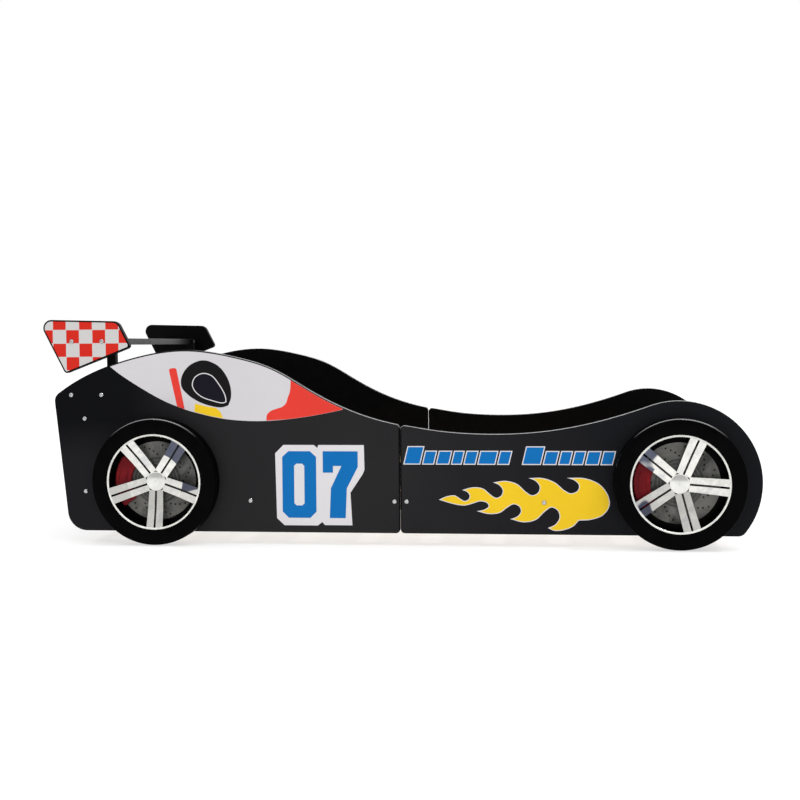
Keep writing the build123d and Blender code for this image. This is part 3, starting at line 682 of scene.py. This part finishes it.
def print_cockpit(label, side):
    """The lens with its strip, collar and bright corner, and the helmet in layers on it."""
    rim = face_rim(f"{label}_rear_side_panel")
    lens = shape(smooth(LENS_LOWER), top_edge(rim, LENS_START, LENS_END, LENS_DROP))
    film(f"{label}_cockpit_lens", lens, 1, LENS_INK, side)
    film(f"{label}_cockpit_strip", STRIP, 2, RED_INK, side)
    film(f"{label}_cockpit_collar", COLLAR, 2, YELLOW_INK, side)
    along_top = top_edge(rim, CORNER_START, CORNER_END, CORNER_DROP)
    corner = shape(smooth(CORNER_LOWER), smooth(CORNER_BACK), along_top)
    film(f"{label}_cockpit_corner", corner, 2, RED_INK, side)
    visor = smooth(VISOR)
    film(f"{label}_helmet", smooth(HELMET), 3, HELMET_INK, side)
    film(f"{label}_visor_line", grow(visor, VISOR_LINE), 4, WHITE_INK, side)
    film(f"{label}_visor", grow(visor, -VISOR_LINE), 5, GLASS_INK, side)


def print_number(label, side):
    """The race number, in plain block figures on a backing."""
    shapes = (
        ("number_backing", NUMBER_BACKING, 1, WHITE_INK), ("number_nought", NOUGHT, 2, BLUE_INK),
        ("number_nought_hole", NOUGHT_HOLE, 3, WHITE_INK), ("number_seven", SEVEN, 2, BLUE_INK),
    )
    for name, outline, layer, paint in shapes:
        drawn = flipped(outline, NUMBER_MIDDLE) if side == LEFT else outline
        film(f"{label}_{name}", drawn, layer, paint, side)


def print_bars(label, side):
    """The slanted bars, each blue on a white edge."""
    for group, (foot, widths) in enumerate(BAR_GROUPS, start=1):
        for index, width in enumerate(widths, start=1):
            tall = FIRST_BAR_HEIGHT if index == 1 else BAR_HEIGHT
            head = foot + tall * BAR_SLANT
            top = BAR_FOOT + tall
            bar = [(foot, BAR_FOOT), (foot + width, BAR_FOOT), (head + width, top), (head, top)]
            film(f"{label}_bar_{group}_{index}_edge", bar, 1, WHITE_INK, side)
            film(f"{label}_bar_{group}_{index}", grow(bar, -BAR_OUTLINE), 2, BLUE_INK, side)
            foot += width + BAR_GAP


def lick_runs(tips, waist):
    """The flame's edge from each tip to the next."""
    runs = []
    for index, (start, end) in enumerate(zip(tips, tips[1:])):
        low = waist[0] + waist[1] * index
        run = []
        for share, height in LICK:
            top = start[1] + (end[1] - start[1]) * min(share, 1)
            run.append((start[0] + share * (end[0] - start[0]), low + height * (top - low)))
        runs.append(run)
    return runs


def print_flame(label, side):
    """The flame, yellow on a white edge."""
    upper = lick_runs([FLAME_TIP, *UPPER_LICKS], UPPER_WAIST)
    lower = [run[::-1] for run in lick_runs([FLAME_TIP, *LOWER_LICKS], LOWER_WAIST)][::-1]
    outline = shape(*[smooth(run) for run in [*upper, FLAME_NOSE, FLAME_CHIN, *lower]])
    film(f"{label}_flame_edge", outline, 1, WHITE_INK, side)
    film(f"{label}_flame", grow(outline, -FLAME_LINE), 2, YELLOW_INK, side)


def print_checks(label, side):
    rim = face_rim(f"{label}_spoiler_plate")
    hull = grow(convex_hull([point for pair in rim for point in pair]), -CHECK_EDGE)
    film(f"{label}_checks_white", hull, 1, CHECK_WHITE_INK, side)
    far = CHECK_PITCH - 2 * CHECK_GAP
    for across, column in enumerate(CHECK_REACH):
        for down, row in enumerate(CHECK_REACH):
            if (column + row) % 2:
                continue
            u = CHECK_START + column * CHECK_PITCH + CHECK_GAP
            v = CHECK_TOP - row * CHECK_PITCH + CHECK_GAP
            square = clipped([(u, v), (u + far, v), (u + far, v + far), (u, v + far)], hull)
            if len(square) > 2 and enclosed(square) > CHECK_LEAST:
                film(f"{label}_check_{across}_{down}", square, 2, CHECK_RED_INK, side)


for label, side in SIDES.items():
    print_cockpit(label, side)
    print_number(label, side)
    print_bars(label, side)
    print_flame(label, side)
    print_checks(label, side)

# ---------------------------------------------------------------- floor, light and camera
# Half the floor's width in metres, and how much light it gives off
FLOOR_REACH = 30
FLOOR_GLOW = 0.6
# Which way the sky's light changes: an axis, the range of directions along it, and the strengths there
SKY_RAMPS = (("Y", -1, 0.1, 0.62, 1.04), ("Z", 0.35, 1, 0, 0.7))
LAMP_AIM = Vector((0, 0, 0.2))
# Each lamp's name, place, size and power
LAMPS = (
    ("key", (1.2, -2.2, 3.0), 2.2, 4), ("fill", (-2.6, -2.4, 2.2), 2.2, 1.5),
    ("top", (0.3, 0.9, 3.2), 2.6, 22), ("glint", (3.0, -0.45, 4.8), 0.5, 60),
)
# The camera: its place in metres, its angles in radians, and its lens and sensor in millimetres
CAMERA_PLACE = (0.31141, -3.17917, 0.44956)
CAMERA_TURN = 0.105452
CAMERA_DIP = 0.0442226
CAMERA_ROLL = -0.0061633
CAMERA_LENS = 56.962
SENSOR = 36


def put_floor():
    """A wide sheet of pale paper that glows softly, so that it shows little shadow."""
    form = bmesh.new()
    bmesh.ops.create_grid(form, x_segments=8, y_segments=8, size=FLOOR_REACH)
    mesh = bpy.data.meshes.new("floor")
    form.to_mesh(mesh)
    form.free()
    floor = bpy.data.objects.new("floor", mesh)
    bpy.context.scene.collection.objects.link(floor)
    paint = Paint(
        "floor_paper", Specular_IOR_Level=0.1, Roughness=0.9,
        Emission_Color=(1, 1, 1, 1), Emission_Strength=FLOOR_GLOW,
    )
    paint.put("Base Color", paint.mix(paint.noise(3, 2), (0.4, 0.4, 0.4, 1), (0.43, 0.43, 0.43, 1)))
    mesh.materials.append(paint.material)


def light_sky():
    """A white sky, dimmer from the bed's right and brighter overhead. The camera sees it plain white."""
    world = bpy.data.worlds.new("studio")
    bpy.context.scene.world = world
    world.use_nodes = True
    nodes = world.node_tree.nodes
    links = world.node_tree.links
    nodes.clear()
    parts = nodes.new("ShaderNodeSeparateXYZ")
    links.new(nodes.new("ShaderNodeTexCoord").outputs["Generated"], parts.inputs[0])
    strength = nodes.new("ShaderNodeMath")
    strength.operation = "ADD"
    for socket, (axis, *ends) in zip(strength.inputs, SKY_RAMPS):
        ramp = nodes.new("ShaderNodeMapRange")
        links.new(parts.outputs[axis], ramp.inputs["Value"])
        for end, amount in zip(ramp.inputs[1:], ends):
            end.default_value = amount
        links.new(ramp.outputs[0], socket)
    sky = nodes.new("ShaderNodeBackground")
    backdrop = nodes.new("ShaderNodeBackground")
    sky.inputs["Color"].default_value = (1, 1, 1, 1)
    backdrop.inputs["Color"].default_value = (1, 1, 1, 1)
    links.new(strength.outputs[0], sky.inputs["Strength"])
    chosen = nodes.new("ShaderNodeMixShader")
    links.new(nodes.new("ShaderNodeLightPath").outputs["Is Camera Ray"], chosen.inputs[0])
    links.new(sky.outputs[0], chosen.inputs[1])
    links.new(backdrop.outputs[0], chosen.inputs[2])
    links.new(chosen.outputs[0], nodes.new("ShaderNodeOutputWorld").inputs["Surface"])


def hang_lamp(name, place, size, power):
    """A large square lamp that points at the bed."""
    lamp = bpy.data.lights.new(name, "AREA")
    lamp.size = size
    lamp.energy = power
    made = bpy.data.objects.new(name, lamp)
    made.location = place
    made.rotation_euler = (LAMP_AIM - Vector(place)).to_track_quat("-Z", "Y").to_euler()
    bpy.context.scene.collection.objects.link(made)


put_floor()
light_sky()
for lamp_row in LAMPS:
    hang_lamp(*lamp_row)

lens = bpy.data.cameras.new("camera")
lens.sensor_width = SENSOR
lens.lens = CAMERA_LENS
camera = bpy.data.objects.new("camera", lens)
camera.matrix_world = (
    Matrix.Translation(CAMERA_PLACE) @ Matrix.Rotation(CAMERA_TURN, 4, "Z")
    @ Matrix.Rotation(math.pi / 2 - CAMERA_DIP, 4, "X") @ Matrix.Rotation(CAMERA_ROLL, 4, "Z")
)
bpy.context.scene.collection.objects.link(camera)
bpy.context.scene.camera = camera
bpy.context.scene.view_settings.view_transform = "Standard"
